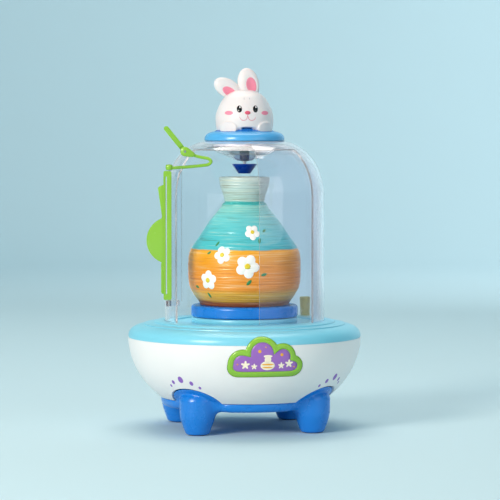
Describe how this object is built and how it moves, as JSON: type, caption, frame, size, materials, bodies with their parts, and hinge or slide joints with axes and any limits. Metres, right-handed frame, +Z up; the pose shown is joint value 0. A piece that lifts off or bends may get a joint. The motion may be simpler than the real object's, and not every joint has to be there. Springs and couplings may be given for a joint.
{
  "type": "pottery wheel",
  "caption": "Toy pottery wheel: bowl base on feet, driven turntable with clay pot, clear dome with turning door, press-down rabbit cone, swinging template arm.",
  "frame": {"origin": "on the surface the wheel stands on, under the spindle", "axes": "+Z up; -Y is the front with the badge; +X to the right seen from the front"},
  "size_m": [0.21, 0.2107, 0.3236],
  "materials": {
    "blue_abs": "glossy moulded blue",
    "sky_abs": "satin moulded light blue",
    "white_abs": "satin moulded white",
    "green_abs": "glossy moulded green",
    "purple_print": "printed purple",
    "clear_plastic": "clear polished",
    "yellow_clear": "translucent yellow",
    "cone_abs": "glossy deep blue",
    "black_abs": "black",
    "clay": "thrown, brush-glazed",
    "steel": "ground",
    "bronze": "sintered",
    "gear_pom": "natural acetal",
    "rubber": "moulded",
    "cell_sleeve": "shrink sleeve",
    "board": "solder mask",
    "wire": "insulated"
  },
  "bodies": {
    "base": {"base_tray": "blue_abs", "foot_pads": "rubber", "lower_bowl": "white_abs", "deck_cover": "sky_abs", "badge_frame": "green_abs", "badge_plate": "purple_print", "idler_axle": "steel", "motor_can": "steel", "motor_end_cap": "black_abs", "motor_clamp": "black_abs", "lower_plate": "black_abs", "upper_plate": "black_abs", "plate_posts": "black_abs", "plate_screws": "steel", "spindle_bushes": "bronze", "thrust_washer": "gear_pom", "lip_seal": "rubber", "battery_box": "black_abs", "battery_cells": "cell_sleeve", "battery_contacts": "steel", "circuit_board": "board", "board_parts": "black_abs", "motor_leads": "wire", "switch_bezel": "blue_abs", "switch_module": "black_abs"},
    "turntable": {"turntable": "blue_abs", "spindle": "steel", "main_gear": "gear_pom", "spindle_clip": "steel", "clay_pot": "clay"},
    "idler": {"idler_gear": "gear_pom"},
    "rotor": {"motor_rotor": "steel", "motor_pinion": "bronze"},
    "dome": {"clear_dome": "clear_plastic", "collar": "white_abs", "plunger_sleeve": "black_abs", "clear_funnel": "clear_plastic", "cap_ring": "blue_abs", "cap_screws": "steel", "arm_pin": "steel", "guide_loop": "green_abs", "lever_pin": "steel", "return_spring": "steel"},
    "door": {"curved_door": "clear_plastic"},
    "plunger": {"press_button": "blue_abs", "plunger_rod": "steel", "press_cone": "cone_abs", "rod_clip": "steel", "rabbit_head": "white_abs", "rabbit_ears": "white_abs"},
    "arm": {"arm_frame": "green_abs", "profile_template": "green_abs"},
    "lever": {"finger_lever": "green_abs"},
    "cup": {"water_cup": "yellow_clear"},
    "hatch": {"battery_door": "blue_abs", "door_screw": "steel"},
    "rocker": {"power_rocker": "green_abs"}
  },
  "joints": [
    {"name": "turntable_spin", "type": "hinge", "parent": "base", "child": "turntable", "pos_m": [0, 0, 0.1], "axis": [0, 0, 1], "continuous": true},
    {"name": "idler_spin", "type": "hinge", "parent": "base", "child": "idler", "pos_m": [0, 0.036, 0.056], "axis": [0, 0, 1], "continuous": true},
    {"name": "rotor_spin", "type": "hinge", "parent": "base", "child": "rotor", "pos_m": [0.0264, 0.036, 0.04], "axis": [0, 0, 1], "continuous": true},
    {"name": "dome_lift", "type": "slide", "parent": "base", "child": "dome", "axis": [0, 0, 1], "range_m": [0, 0.14]},
    {"name": "door_turn", "type": "hinge", "parent": "dome", "child": "door", "pos_m": [0, 0, 0.2545], "axis": [0, 0, 1], "range_deg": [-49, 46]},
    {"name": "button_press", "type": "slide", "parent": "dome", "child": "plunger", "axis": [0, 0, -1], "range_m": [0, 0.006], "stiffness_N_per_m": 350, "springref_m": -0.004, "deforming": ["return_spring"]},
    {"name": "arm_swing", "type": "hinge", "parent": "dome", "child": "arm", "pos_m": [-0.07331, -0.03116, 0.175], "axis": [0, 0, 1], "range_deg": [0, 200]},
    {"name": "lever_tip", "type": "hinge", "parent": "dome", "child": "lever", "pos_m": [-0.05855, -0.0278, 0.249], "axis": [-0.1822, -0.9833, 0], "range_deg": [-20, 30]},
    {"name": "cup_lift", "type": "slide", "parent": "base", "child": "cup", "axis": [0, 0, 1], "range_m": [0, 0.03]},
    {"name": "hatch_drop", "type": "slide", "parent": "base", "child": "hatch", "axis": [0, 0, -1], "range_m": [0, 0.012]},
    {"name": "rocker_tip", "type": "hinge", "parent": "base", "child": "rocker", "pos_m": [0, 0.096, 0.06], "axis": [1, 0, 0], "range_deg": [-8, 8]}
  ],
  "couplings": [
    {"joint": "idler_spin", "follows": "turntable_spin", "ratio": -5},
    {"joint": "rotor_spin", "follows": "turntable_spin", "ratio": 22.5}
  ]
}
